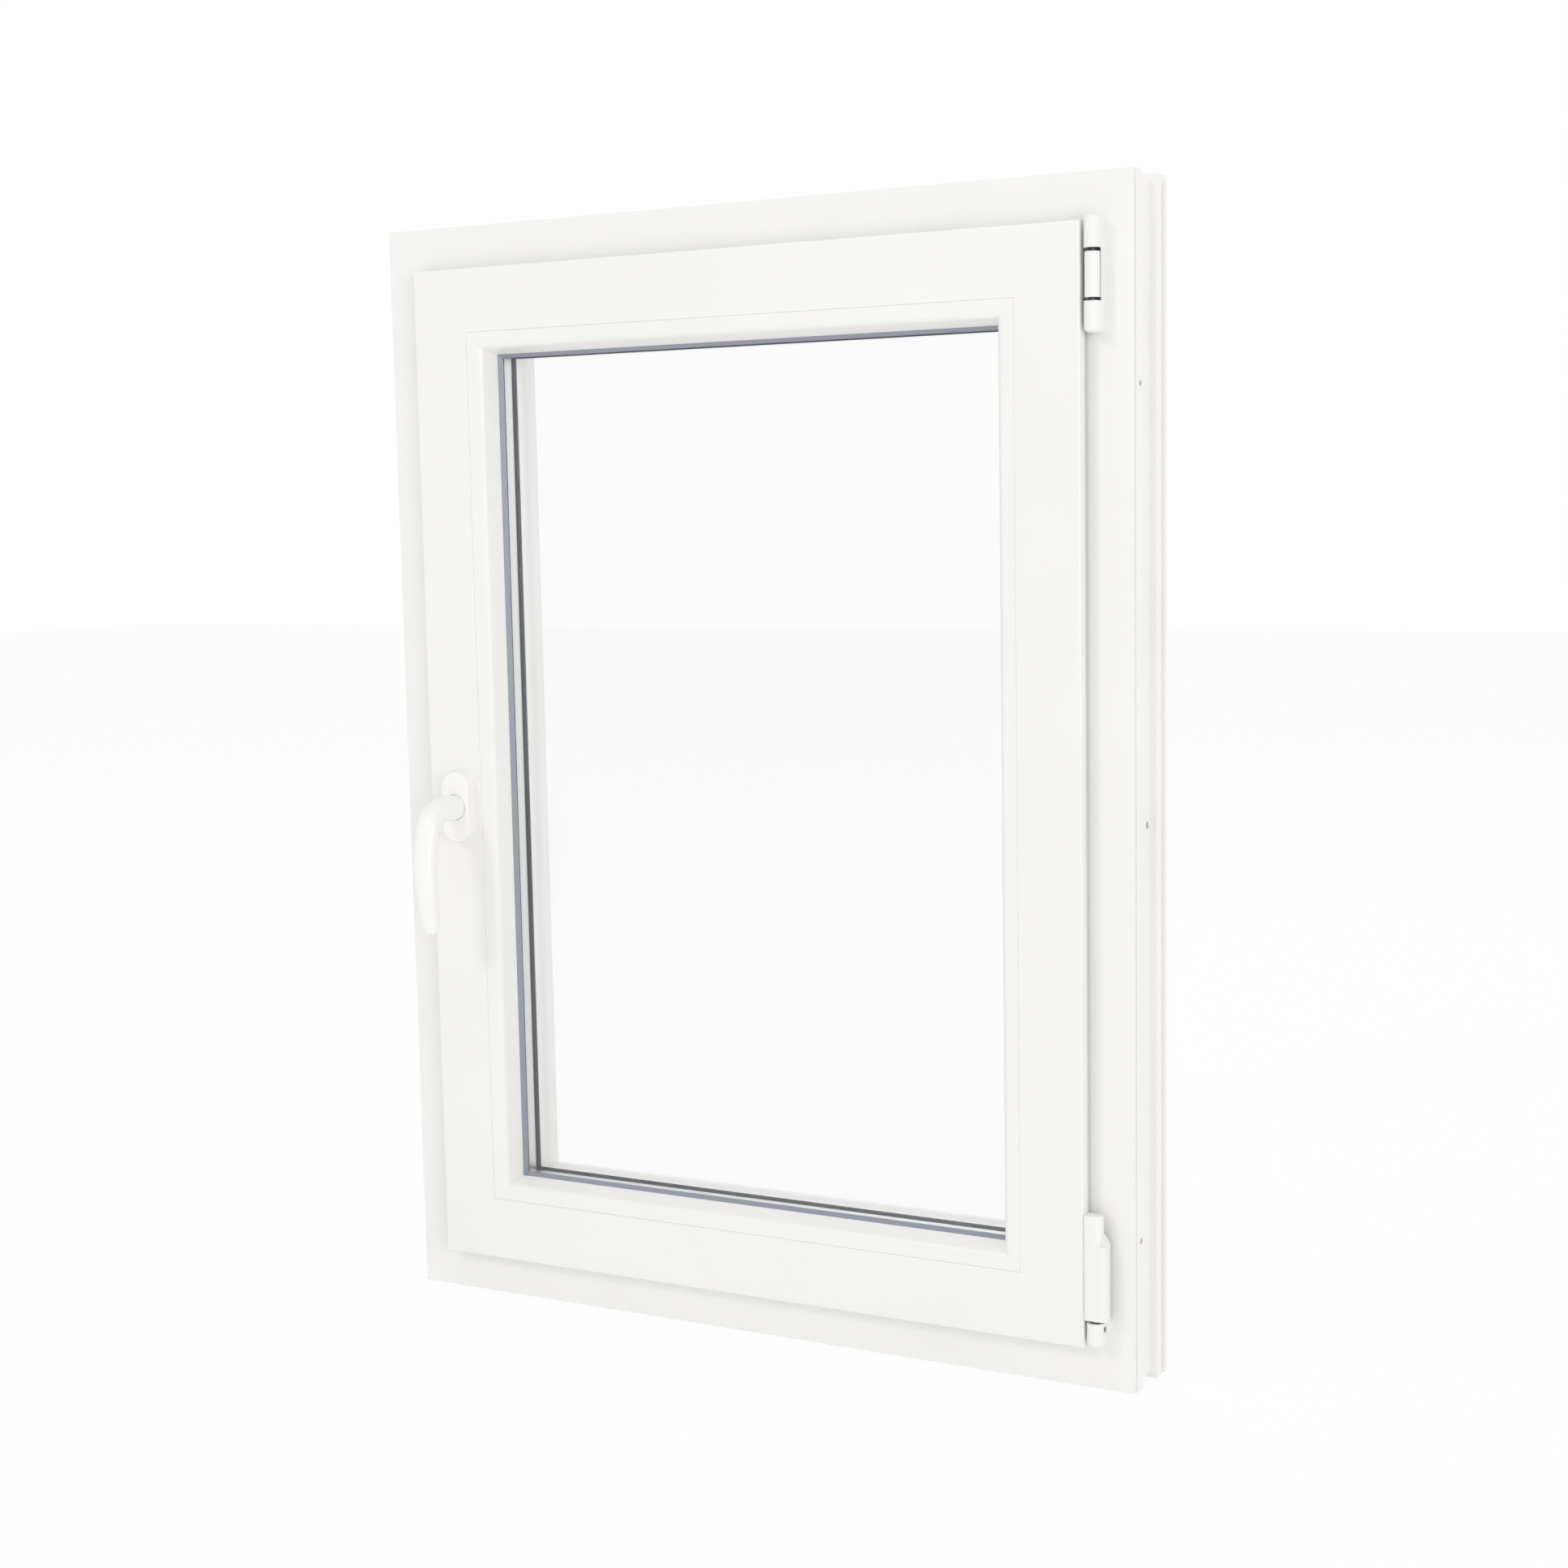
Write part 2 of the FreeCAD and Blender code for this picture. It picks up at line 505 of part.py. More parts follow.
def pivot_rest():
    z0, z1 = CUP_Z
    cup = join([rod_z(CUP_R, AXIS_X, AXIS_Y, z0, z1),
                box(AXIS_X - 4, AXIS_X + 4, AXIS_Y, -2.5, z0, z1),
                box(AXIS_X - CUP_R, AXIS_X + CUP_R, -2.5, 0, z0, z1),
                rod_y(SPIGOT_R, AXIS_X, REST_SPIGOT_HEIGHT, -2.5, 12.0)])
    return cut(cup, [rod_z(BUSH_R + 0.06, AXIS_X, AXIS_Y, BUSH_Z[0] - 0.1, z1 + 1)])


def pivot_rest_cover():
    z0, z1 = REST_COVER
    body = rounded_end(slab_xy(cap_points(REST_COVER_R), z0, z1), z0, 4.0)
    inner = CUP_R + CLEAR
    roof = CUP_Z[1] + CLEAR
    radius, y, z = ADJUSTER
    return cut(body, [rod_z(inner, AXIS_X, AXIS_Y, z0 + 1.5, roof),
                      box(AXIS_X - inner, AXIS_X + inner, AXIS_Y, 0, z0 + 1.5, roof),
                      rod_z(BUSH_R + 0.1, AXIS_X, AXIS_Y, roof - 1, z1 + 1),
                      rod_x(radius, y, z, AXIS_X + inner - 2, AXIS_X + REST_COVER_R + 1)])


def pivot_bush():
    """Plastic seat that turns in the cup; the ball of the corner hinge tilts in it."""
    body = rod_z(BUSH_R, AXIS_X, AXIS_Y, *BUSH_Z)
    seat = Part.makeSphere(BALL_R + 0.05, V(AXIS_X, AXIS_Y, TILT_AXIS_Z))
    return cut(body, [seat, rod_z(BALL_R + 0.05, AXIS_X, AXIS_Y, TILT_AXIS_Z, BUSH_Z[1] + 1)])


def corner_hinge():
    z0, z1 = CORNER_BARREL
    barrel = rod_z(KNUCKLE_R, AXIS_X, AXIS_Y, z0, z1)
    web = box(AXIS_X - KNUCKLE_R, AXIS_X - 1, AXIS_Y, LEAF_Y[1], z0, z1)
    leaf = box(CORE_HALF, AXIS_X - 1, LEAF_Y[0], LEAF_Y[1], z0, z1)
    plate = box(CORE_HALF, CORE_HALF + PLATE_THICKNESS, LEAF_Y[0], 34.0, z0, 141.0)
    stem = rod_z(STEM_R, AXIS_X, AXIS_Y, TILT_AXIS_Z, z0)
    ball = Part.makeSphere(BALL_R, V(AXIS_X, AXIS_Y, TILT_AXIS_Z))
    holes = corner_hinge_screws()
    return cut(join([barrel, web, leaf, plate, stem, ball]), holes)


def corner_hinge_cover():
    """Tall cap over the corner hinge, narrower at its top, with room for the barrel and leaf."""
    z0, z1, z2 = CORNER_COVER
    left = WIDTH / 2 - REVEAL + 0.2
    right = AXIS_X + 10.5
    front = AXIS_Y - 6
    back = AXIS_Y + 7.5
    shape = [(left, front, 3.0), (right, front, 5.0), (right, back, 3.0), (left, back, 1.0)]
    wide = slab_xy(shape, z0, z1)
    narrow = slab_xy([(left, front, 3.0), (AXIS_X + 6, front, 5.0), (AXIS_X + 6, AXIS_Y + 5.5, 3.0),
                      (left, AXIS_Y + 5.5, 1.0)], z1 - 1, z2)
    narrow = rounded(narrow, 0.9, lambda e: all(abs(v.Z - z2) < 1e-6 for v in e.Vertexes))
    shoulder = slab_xz([(AXIS_X + 5, z1), (right, z1), (AXIS_X + 5, z1 + 8)], AXIS_Y - 1, back)
    shoulder = shoulder.common(slab_xy(shape, z1, z2))
    inner = KNUCKLE_R + CLEAR
    hollow = [rod_z(inner, AXIS_X, AXIS_Y, z0 - 1, CORNER_BARREL[1] + 1),
              box(left - 1, AXIS_X - 0.5, AXIS_Y, 0, z0 - 1, CORNER_BARREL[1] + 1)]
    return cut(join([wide, narrow, shoulder]), hollow)


def corner_hinge_screws():
    return [screw(V(CORE_HALF + PLATE_THICKNESS, y, z), V(-1, 0, 0), 7.0)
            for y, z in HINGE_SCREW_PLACES]


# ---------------------------------------------------------------- locking hardware in the sash
CAM_R = 4.0
CAM_END_U = CORE_U - 8.5
ROD_U = (PLATE_U + 0.2, PLATE_U + 1.7)
GUIDE_REACH = 22.0
RACK_PITCH = 2 * math.pi * PINION_PITCH_R / PINION_TEETH
MODULE = RACK_PITCH / math.pi
RACK_LINE_U = SPINDLE_U - PINION_PITCH_R
BACKLASH = 0.25


def plate(side, s0, s1, slots=()):
    """Faceplate in the sash groove of one side; slots are (start, end, half width)."""
    half = PLATE_WIDTH / 2
    shape = box(s0, s1, GROOVE_Y - half, GROOVE_Y + half, CORE_U, CORE_U + PLATE_THICKNESS)
    tools = [box(a, b, GROOVE_Y - w, GROOVE_Y + w, CORE_U - 1, CORE_U + 4) for a, b, w in slots]
    return set_on(side, cut(shape, tools + groove_screws(side)))


def groove_screws(side):
    """Faceplate screws of one side, in bar space."""
    return [screw(V(s, GROOVE_Y, CORE_U), V(0, 0, 1), 8.5) for s in PLATE_SCREW_PLACES[side]]


def faceplate_screws():
    return [set_on(side, shape) for side in PLATE_SCREW_PLACES for shape in groove_screws(side)]


def faceplates():
    end = -SASH_HALF + LIP_WIDTH + GUIDE_REACH + 1
    lock_s = HEIGHT / 2 - LOCK_CAM_Z
    lock_half = HEIGHT / 2 - CORE_U - GUIDE_REACH - 1
    lock = plate("left", -lock_half, lock_half, [(lock_s - 4, lock_s + ROD_TRAVEL + 4, 3.2)])
    s_pin = -SLIDE_PIN_X
    top = plate("top", -CORE_HALF + 4, -end,
                [(-TOP_CAM_X - 4, -TOP_CAM_X + ROD_TRAVEL + 4, 3.2),
                 (s_pin - SLIDE_TRAVEL - 5.5, s_pin + 5.5, 5.5)])
    bottom = plate("bottom", end, CORE_HALF - 4, [(BOTTOM_CAM_X - 4, BOTTOM_CAM_X + ROD_TRAVEL + 4, 3.2)])
    return {"lock_faceplate": [lock], "top_faceplate": [top], "bottom_faceplate": [bottom]}


def corner_guides():
    """Bent channels that lead the drive round the two corners on the lock side."""
    guides = []
    for top in (0, 1):
        up = -1 if top else 1
        corner_z = CORE_TOP if top else CORE_U
        corner_x = -CORE_HALF
        far = corner_z + up * GUIDE_REACH
        inner = corner_z + up * 6.0
        leg = box(corner_x, corner_x + 6.0, GROOVE_Y - 6, GROOVE_Y + 6,
                  min(corner_z, far), max(corner_z, far))
        arm = box(corner_x, corner_x + GUIDE_REACH, GROOVE_Y - 6, GROOVE_Y + 6,
                  min(corner_z, inner), max(corner_z, inner))
        channel = box(corner_x + 2, corner_x + 4, GROOVE_Y - 4, GROOVE_Y + 4,
                      min(corner_z + up * 2, far), max(corner_z + up * 2, far))
        crossing = box(corner_x + 4, corner_x + GUIDE_REACH, GROOVE_Y - 4, GROOVE_Y + 4,
                       min(corner_z + up * 2, corner_z + up * 4), max(corner_z + up * 2, corner_z + up * 4))
        guides.append(cut(join([leg, arm]), [channel, crossing]))
    return guides


def rod_blank(side, s0, s1):
    return set_on(side, box(s0, s1, GROOVE_Y - ROD_WIDTH / 2, GROOVE_Y + ROD_WIDTH / 2, *ROD_U))


def cam(side, s):
    """Roller that hooks behind a keep, on a stem that passes the faceplate slot."""
    stem = rod_z(2.5, s, GROOVE_Y, CORE_U - 1.0, ROD_U[0])
    roller = rod_z(CAM_R, s, GROOVE_Y, CAM_END_U, CORE_U - 0.6)
    return set_on(side, stem.fuse(roller))


def rack_teeth():
    """Straight-sided teeth on the lock rod that mesh with the pinion's left side."""
    tip = RACK_LINE_U + 0.8 * MODULE
    root = ROD_U[1]
    slope = math.tan(math.radians(20))
    teeth = []
    for i in range(-7, 1):
        centre = HANDLE_S + (i + 0.5) * RACK_PITCH
        half_line = RACK_PITCH / 4 - BACKLASH / 2
        half_tip = half_line - 0.8 * MODULE * slope
        half_root = half_line + (RACK_LINE_U - root) * slope
        points = [(centre - half_root, root), (centre + half_root, root),
                  (centre + half_tip, tip), (centre - half_tip, tip)]
        teeth.append(slab_xz(points, GROOVE_Y - 4, GROOVE_Y + 4))
    return teeth


def drive_rods():
    low = 112.0
    high = 890.0
    half = ROD_WIDTH / 2
    lock = box(HEIGHT / 2 - high, HEIGHT / 2 - low, GROOVE_Y - half, GROOVE_Y + half, *ROD_U)
    passages = [box(s - ROD_TRAVEL - 3, s + 3, GROOVE_Y - 2.6, GROOVE_Y + 2.6, CORE_U, CORE_U + 10)
                for s in PLATE_SCREW_PLACES["left"]]
    lock = set_on("left", cut(join([lock] + rack_teeth()), passages))
    top = rod_blank("top", 60.0, 245.0)
    bottom = rod_blank("bottom", -276.0, 140.0)
    return {"lock_rod": [lock], "lock_cam": [cam("left", HEIGHT / 2 - LOCK_CAM_Z)],
            "top_rod": [top], "top_cam": [cam("top", -TOP_CAM_X)],
            "bottom_rod": [bottom], "bottom_cam": [cam("bottom", BOTTOM_CAM_X)]}


def pinion_points():
    """Tooth outline from the involute of the base circle, as (x, z) about the spindle."""
    base = PINION_PITCH_R * math.cos(math.radians(20))
    outer = PINION_PITCH_R + 0.8 * MODULE
    root = PINION_PITCH_R - 0.95 * MODULE
    pitch_involute = math.tan(math.radians(20)) - math.radians(20)
    half_angle = math.pi / (2 * PINION_TEETH) - BACKLASH / (2 * PINION_PITCH_R) + pitch_involute
    radii = [base + (outer - base) * i / 4 for i in range(5)]
    flank = []
    for r in radii:
        pressure = math.acos(min(1.0, base / r))
        flank.append((r, half_angle - (math.tan(pressure) - pressure)))
    points = []
    for tooth in range(PINION_TEETH):
        middle = 2 * math.pi * tooth / PINION_TEETH
        side = [(root, half_angle)] + flank
        for r, a in [(r, -a) for r, a in side] + side[::-1]:
            points.append((r * math.cos(middle + a), r * math.sin(middle + a)))
    return points


def spindle_tool(y0, y1, half=3.55):
    return box(SPINDLE_X - half, SPINDLE_X + half, y0, y1, HANDLE_HEIGHT - half, HANDLE_HEIGHT + half)


def drive_pinion():
    teeth = [(SPINDLE_X + x, HANDLE_HEIGHT + z) for x, z in pinion_points()]
    gear = slab_xz(teeth, GROOVE_Y - 4, GROOVE_Y + 4)
    hub = rod_y(6.0, SPINDLE_X, HANDLE_HEIGHT, GROOVE_Y - 7, GROOVE_Y + 7)
    return cut(gear.fuse(hub), [spindle_tool(-20, 30)])


def gearbox_case():
    u1 = BEAD_U - WALL - 1.0
    x0 = -WIDTH / 2 + GROOVE_FLOOR_U - 0.5
    x1 = -WIDTH / 2 + u1
    z0 = HANDLE_HEIGHT - GEARBOX_HALF
    z1 = HANDLE_HEIGHT + GEARBOX_HALF
    y0, y1 = GROOVE_Y - 7.8, GROOVE_Y + 7.8
    case = box(x0, x1, y0, y1, z0, z1)
    room = PINION_PITCH_R + 0.8 * MODULE + 0.6
    hollow = [rod_y(room, SPINDLE_X, HANDLE_HEIGHT, GROOVE_Y - 4.4, GROOVE_Y + 4.4),
              box(x0 - 1, SPINDLE_X, GROOVE_Y - 4.4, GROOVE_Y + 4.4, HANDLE_HEIGHT - 50, HANDLE_HEIGHT + 35),
              rod_y(6.06, SPINDLE_X, HANDLE_HEIGHT, -20, 30)]
    for offset in (-SCREW_SPACING / 2, SCREW_SPACING / 2):
        hollow.append(rod_y(2.5, SPINDLE_X, HANDLE_HEIGHT + offset, -20, 30))
    return cut(case, hollow)


# ---------------------------------------------------------------- keeps on the frame
def keep(side):
    """Base plate in the frame rebate, opposite the cam's travel. It has no hook, so that the sash
    and the handle can each move through their whole range on their own."""
    centre = KEEP_PLACES[side]
    base = box(centre - KEEP_HALF_LENGTH, centre + KEEP_HALF_LENGTH,
               GROOVE_Y - KEEP_HALF_WIDTH, GROOVE_Y + KEEP_HALF_WIDTH, REBATE_U, REBATE_U + KEEP_THICKNESS)
    return set_on(side, cut(base, rebate_screws(side)))


def keeps():
    return {"keep_lock_side": [keep("left")], "keep_head": [keep("top")], "keep_sill": [keep("bottom")]}


def rebate_screws(side):
    """Keep screws of one side, in bar space."""
    head_u = REBATE_U + KEEP_THICKNESS
    return [screw(V(s, KEEP_SCREW_Y, head_u), V(0, 0, -1), KEEP_SCREW_LENGTH, shank=KEEP_SCREW_R)
            for s in keep_screw_places(side)]


def keep_screws():
    return [set_on(side, shape) for side in KEEP_PLACES for shape in rebate_screws(side)]


# ---------------------------------------------------------------- handle
ROSETTE_W = 30.0
ROSETTE_H = 64.0
ROSETTE_DEPTH = 12.0
ROSETTE_END_R = 14.8
NECK_R = 11.5
NECK_END_Y = -62.0                  # where the round neck runs into the grip
GRIP_LENGTH = 112.0
GRIP_END_HALF = 10.0
BELLY_BELOW = 54.0                  # from the spindle down to where the grip stands out furthest
GRIP_FRONT = (-75.0, -83.5, -73.0)  # room side of the grip: at its top, belly and tip
GRIP_BACK = (-62.0, -66.5, -63.0)
BEND_R = 22.0                       # outside of the bend from neck to grip


def slot_points(half_w, z0, z1, r):
    left, right = SPINDLE_X - half_w, SPINDLE_X + half_w
    return [(left, z0, r), (right, z0, r), (right, z1, r), (left, z1, r)]


def rosette():
    z0 = HANDLE_HEIGHT - ROSETTE_H / 2
    z1 = HANDLE_HEIGHT + ROSETTE_H / 2
    front = SASH_FRONT - ROSETTE_DEPTH
    shell = slab_xz(slot_points(ROSETTE_W / 2, z0, z1, ROSETTE_END_R), front, SASH_FRONT)
    shell = rounded(shell, 2.5, lambda e: all(abs(v.Y - front) < 1e-6 for v in e.Vertexes))
    hollow = slab_xz(slot_points(ROSETTE_W / 2 - 2, z0 + 2, z1 - 2, ROSETTE_END_R - 2),
                     front + 2.5, SASH_FRONT + 1)
    cover = cut(shell, [hollow, rod_y(NECK_R + 0.3, SPINDLE_X, HANDLE_HEIGHT, front - 1, SASH_FRONT)])
    base = slab_xz(slot_points(ROSETTE_W / 2 - 2.3, z0 + 2.3, z1 - 2.3, ROSETTE_END_R - 2.3),
                   SASH_FRONT - 5, SASH_FRONT)
    holes = [rod_y(NECK_R + 0.3, SPINDLE_X, HANDLE_HEIGHT, SASH_FRONT - 6, SASH_FRONT - 2),
             rod_y(6.5, SPINDLE_X, HANDLE_HEIGHT, SASH_FRONT - 6, SASH_FRONT + 1)]
    screws = []
    for offset in (-SCREW_SPACING / 2, SCREW_SPACING / 2):
        z = HANDLE_HEIGHT + offset
        head = V(SPINDLE_X, SASH_FRONT - 5, z)
        screws.append(screw(head, V(0, 1, 0), 24.0, shank=2.4, head_r=4.6, head_depth=2.0))
        holes.append(rod_y(2.7, SPINDLE_X, z, SASH_FRONT - 6, SASH_FRONT + 1))
        holes.append(Part.makeCone(4.9, 2.7, 2.2, head, V(0, 1, 0)))
    return {"rosette_cover": [cover], "rosette_base": [cut(base, holes)], "rosette_screws": screws}


def lever_side_outline():
    """The lever seen from the side, as (y, z): neck, bend, and a grip that bows into the room."""
    top, bottom = HANDLE_HEIGHT + NECK_R, HANDLE_HEIGHT - NECK_R
    belly, tip = HANDLE_HEIGHT - BELLY_BELOW, HANDLE_HEIGHT - GRIP_LENGTH
    return [(SASH_FRONT, top), (GRIP_FRONT[0], top, BEND_R), (GRIP_FRONT[1], belly, 60.0),
            (GRIP_FRONT[2], tip, 4.0), (GRIP_BACK[2], tip, 4.0), (GRIP_BACK[1], belly, 60.0),
            (GRIP_BACK[0], bottom, 8.0), (SASH_FRONT, bottom)]


def along_grip(edge):
    """True for the edges between the grip's sides and its front and back."""
    way = edge.tangentAt((edge.FirstParameter + edge.LastParameter) / 2)
    on_neck = all(abs(v.Y - NECK_END_Y) < 1e-6 for v in edge.Vertexes)
    return max(abs(way.x), abs(way.y)) < 0.999 and not on_neck


def handle_lever():
    """Round neck that bends down into a bowed grip with a round end."""
    low = HANDLE_HEIGHT - GRIP_LENGTH
    high = HANDLE_HEIGHT + NECK_R
    points = [(SPINDLE_X - GRIP_END_HALF, low, GRIP_END_HALF - 0.5),
              (SPINDLE_X + GRIP_END_HALF, low, GRIP_END_HALF - 0.5),
              (SPINDLE_X + NECK_R, high, NECK_R - 0.5), (SPINDLE_X - NECK_R, high, NECK_R - 0.5)]
    side = slab_yz(lever_side_outline(), SPINDLE_X - NECK_R, SPINDLE_X + NECK_R)
    grip = rounded(slab_xz(points, min(GRIP_FRONT) - 1, NECK_END_Y).common(side), 3.5, along_grip)
    neck = rod_y(NECK_R, SPINDLE_X, HANDLE_HEIGHT, NECK_END_Y, SASH_FRONT - 2.4)
    return cut(join([grip, neck]), [spindle_tool(-50, SASH_FRONT)])


def handle_spindle():
    return spindle_tool(-49.0, GROOVE_Y + 8, half=3.5)


# ---------------------------------------------------------------- write every node
def all_parts():
    parts = {name: [shape] for name, shape in {**frame_bars(), **sash_bars(), **beads()}.items()}
    parts["frame_reinforcement"] = steel_bars(10.0, 41.0, 18.0, 44.0, 52.0, fixing_clearance=True)
    parts["sash_reinforcement"] = steel_bars(CORE_U + 6, BEAD_U - 5, 18.0, LEG_FRONT - 3.0, BEAD_U + 2)
    parts["frame_seal"] = frame_seal()
    parts["sash_seal"] = sash_seal()
    parts["drain_caps"] = drain_caps()
    parts["stay_bearing"] = [stay_bearing()]
    parts["stay_bearing_covers"] = [stay_bearing_covers()]
    parts["stay_hinge_pin"] = [stay_hinge_pin()]
    parts["pivot_rest"] = [pivot_rest()]
    parts["pivot_rest_cover"] = [pivot_rest_cover()]
    parts["pivot_bush"] = [pivot_bush()]
    parts["stay_arm"] = [stay_arm()]
    parts["stay_arm_cover"] = [stay_arm_cover()]
    parts["stay_slide_pin"] = [stay_slide_pin()]
    parts["corner_hinge"] = [corner_hinge()]
    parts["corner_hinge_cover"] = [corner_hinge_cover()]
    parts["corner_hinge_screws"] = corner_hinge_screws()
    parts["faceplate_screws"] = faceplate_screws()
    parts["keep_screws"] = keep_screws()
    parts["corner_guides"] = corner_guides()
    parts["gearbox_case"] = [gearbox_case()]
    parts["drive_pinion"] = [drive_pinion()]
    parts["handle_lever"] = [handle_lever()]
    parts["handle_spindle"] = [handle_spindle()]
    for group in (glazing(), faceplates(), drive_rods(), keeps(), rosette()):
        parts.update(group)
    return parts


def main():
    os.makedirs("parts", exist_ok=True)
    for name, solids in all_parts().items():
        shape = solids[0] if len(solids) == 1 else Part.Compound(solids)
        shape.exportStep("parts/" + name + ".step")
        state = "valid" if shape.isValid() else "INVALID"
        print(name, len(shape.Solids), "solids", state, round(shape.Volume / 1000, 2), "cm3")


main()
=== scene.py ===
# %% [markdown]
# # A white tilt-and-turn window
#
# The window's solid parts come from its CAD model and stay where they are. This script gives each
# part the finish of its real material, rebuilds the lever, whose soft shape suits a mesh better, and
# sets up the floor, the light and the camera. Distances are in metres.

# %% Load the window
import math

import bmesh
import bpy
from mathutils import Matrix, Vector


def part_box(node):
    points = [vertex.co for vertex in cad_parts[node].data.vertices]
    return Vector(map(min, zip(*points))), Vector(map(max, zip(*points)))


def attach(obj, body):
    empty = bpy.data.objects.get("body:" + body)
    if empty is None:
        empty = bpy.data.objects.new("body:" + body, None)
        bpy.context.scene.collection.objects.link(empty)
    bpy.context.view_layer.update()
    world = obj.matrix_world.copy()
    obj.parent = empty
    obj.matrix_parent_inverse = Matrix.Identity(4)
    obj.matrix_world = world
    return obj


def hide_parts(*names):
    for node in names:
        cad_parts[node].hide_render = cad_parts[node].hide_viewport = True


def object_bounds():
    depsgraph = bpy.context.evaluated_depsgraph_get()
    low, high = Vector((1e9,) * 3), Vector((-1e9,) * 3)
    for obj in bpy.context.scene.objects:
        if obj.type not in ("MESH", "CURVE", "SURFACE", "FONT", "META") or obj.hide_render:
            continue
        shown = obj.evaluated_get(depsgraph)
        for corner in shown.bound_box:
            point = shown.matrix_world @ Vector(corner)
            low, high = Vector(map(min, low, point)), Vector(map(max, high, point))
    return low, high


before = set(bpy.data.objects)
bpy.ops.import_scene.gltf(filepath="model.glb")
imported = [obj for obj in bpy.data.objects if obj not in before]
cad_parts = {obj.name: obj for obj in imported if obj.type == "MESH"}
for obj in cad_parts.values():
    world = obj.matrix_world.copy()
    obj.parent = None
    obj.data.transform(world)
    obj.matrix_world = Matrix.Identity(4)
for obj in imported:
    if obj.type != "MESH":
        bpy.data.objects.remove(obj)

cad_low, cad_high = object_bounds()
MM = 0.001
print("size in mm:", [round((high - low) / MM, 1) for low, high in zip(cad_low, cad_high)])

# %% [markdown]
# ## Small tools
#
# Colours are written as they look on a screen, so one function turns them into the linear values
# that light is computed with. A second one adds a node, sets it up and connects it, and a third
# starts a material.

# %% Colours and nodes


def colour(code):
    """Linear RGBA of an sRGB hex colour such as #F2F1EE."""
    channels = [int(code[i:i + 2], 16) / 255 for i in (1, 3, 5)]
    return (*[c / 12.92 if c <= 0.04045 else ((c + 0.055) / 1.055) ** 2.4 for c in channels], 1.0)


def add_node(tree, kind, inputs=None, **settings):
    """Add a node. inputs maps a socket's name or number to a value or to another node's output."""
    node = tree.nodes.new(kind)
    for name, value in settings.items():
        setattr(node, name, value)
    for name, value in (inputs or {}).items():
        if isinstance(value, bpy.types.NodeSocket):
            tree.links.new(value, node.inputs[name])
        else:
            node.inputs[name].default_value = value
    return node


def start_material(name):
    """An empty node material, its tree and its output node."""
    material = bpy.data.materials.new(name)
    material.use_nodes = True
    tree = material.node_tree
    tree.nodes.clear()
    return material, tree, tree.nodes.new("ShaderNodeOutputMaterial")


print("mid grey #808080 in linear light:", round(colour("#808080")[0], 3))

# %% [markdown]
# ## Extruded window plastic
#
# Frame, sash and beads are rigid PVC pushed through a die and cooled against polished steel. That
# leaves a satin white skin with very fine lines along the bar and a slow, faint drift of shade.
# The lines follow each bar, so uprights and rails need the same finish with the stretch turned.

# %% Make the extruded plastic
PVC_WHITE = "#F5F4F2"
PVC_SHADE = "#F0EFEC"
PVC_IOR = 1.53
PVC_ROUGHNESS = (0.30, 0.38)    # least and most
DRIFT = 120 * MM                # size of the slow changes of shade
DIE_LINE = 1.6 * MM             # spacing of the die lines, drawn coarser than real so that they show
DIE_LINE_STRETCH = 0.01         # how much slower they change along the bar
DIE_LINE_DEPTH = 0.02 * MM
DIE_LINE_RELIEF = 0.05          # share of that depth that is shaded


def extruded_plastic(name, along):
    material, tree, output = start_material(name)
    place = add_node(tree, "ShaderNodeTexCoord").outputs["Object"]
    stretch = [1.0, 1.0, 1.0]
    stretch["XYZ".index(along)] = DIE_LINE_STRETCH
    lined = add_node(tree, "ShaderNodeMapping", {"Vector": place, "Scale": stretch})
    lines = add_node(tree, "ShaderNodeTexNoise",
                     {"Vector": lined.outputs["Vector"], "Scale": 1 / DIE_LINE, "Detail": 2.0})
    drift = add_node(tree, "ShaderNodeTexNoise", {"Vector": place, "Scale": 1 / DRIFT, "Detail": 1.0})
    shade = add_node(tree, "ShaderNodeMix",
                     {"Factor": drift.outputs["Fac"], "A": colour(PVC_WHITE), "B": colour(PVC_SHADE)},
                     data_type="RGBA")
    gloss = add_node(tree, "ShaderNodeMapRange",
                     {"Value": lines.outputs["Fac"], "To Min": PVC_ROUGHNESS[0],
                      "To Max": PVC_ROUGHNESS[1]})
    relief = add_node(tree, "ShaderNodeBump",
                      {"Height": lines.outputs["Fac"], "Strength": DIE_LINE_RELIEF,
                       "Distance": DIE_LINE_DEPTH})
    skin = add_node(tree, "ShaderNodeBsdfPrincipled",
                    {"Base Color": shade.outputs["Result"], "Roughness": gloss.outputs["Result"],
                     "IOR": PVC_IOR, "Normal": relief.outputs["Normal"]})
    tree.links.new(skin.outputs["BSDF"], output.inputs["Surface"])
    return material


rail_plastic = extruded_plastic("extruded PVC, rails", "X")
stile_plastic = extruded_plastic("extruded PVC, uprights", "Z")
print("made:", rail_plastic.name, "and", stile_plastic.name)

# %% [markdown]
# ## Moulded covers and coated metal
#
# The hinge caps are injection moulded, which gives a smooth skin with a faint grain. The lever is
# cast and powder coated: the baked powder pulls into a gentle orange peel, so its highlights ripple
# slightly. The plate behind the lever takes the lever's brighter white. That partly matches the lever
# and is partly painted light, lifting the plate out of the shade the neck casts on it. Both finishes
# are one recipe with a different grain.

# %% Make the moulded and coated whites
MOULD_GRAIN = 0.5 * MM          # drawn coarser than real so that it shows
ORANGE_PEEL = 1.2 * MM          # from one dimple to the next
GRAIN_RELIEF = 0.2              # share of a grain's depth that is shaded
ROUGHNESS_SPREAD = 0.04         # how far the grain moves the roughness either way


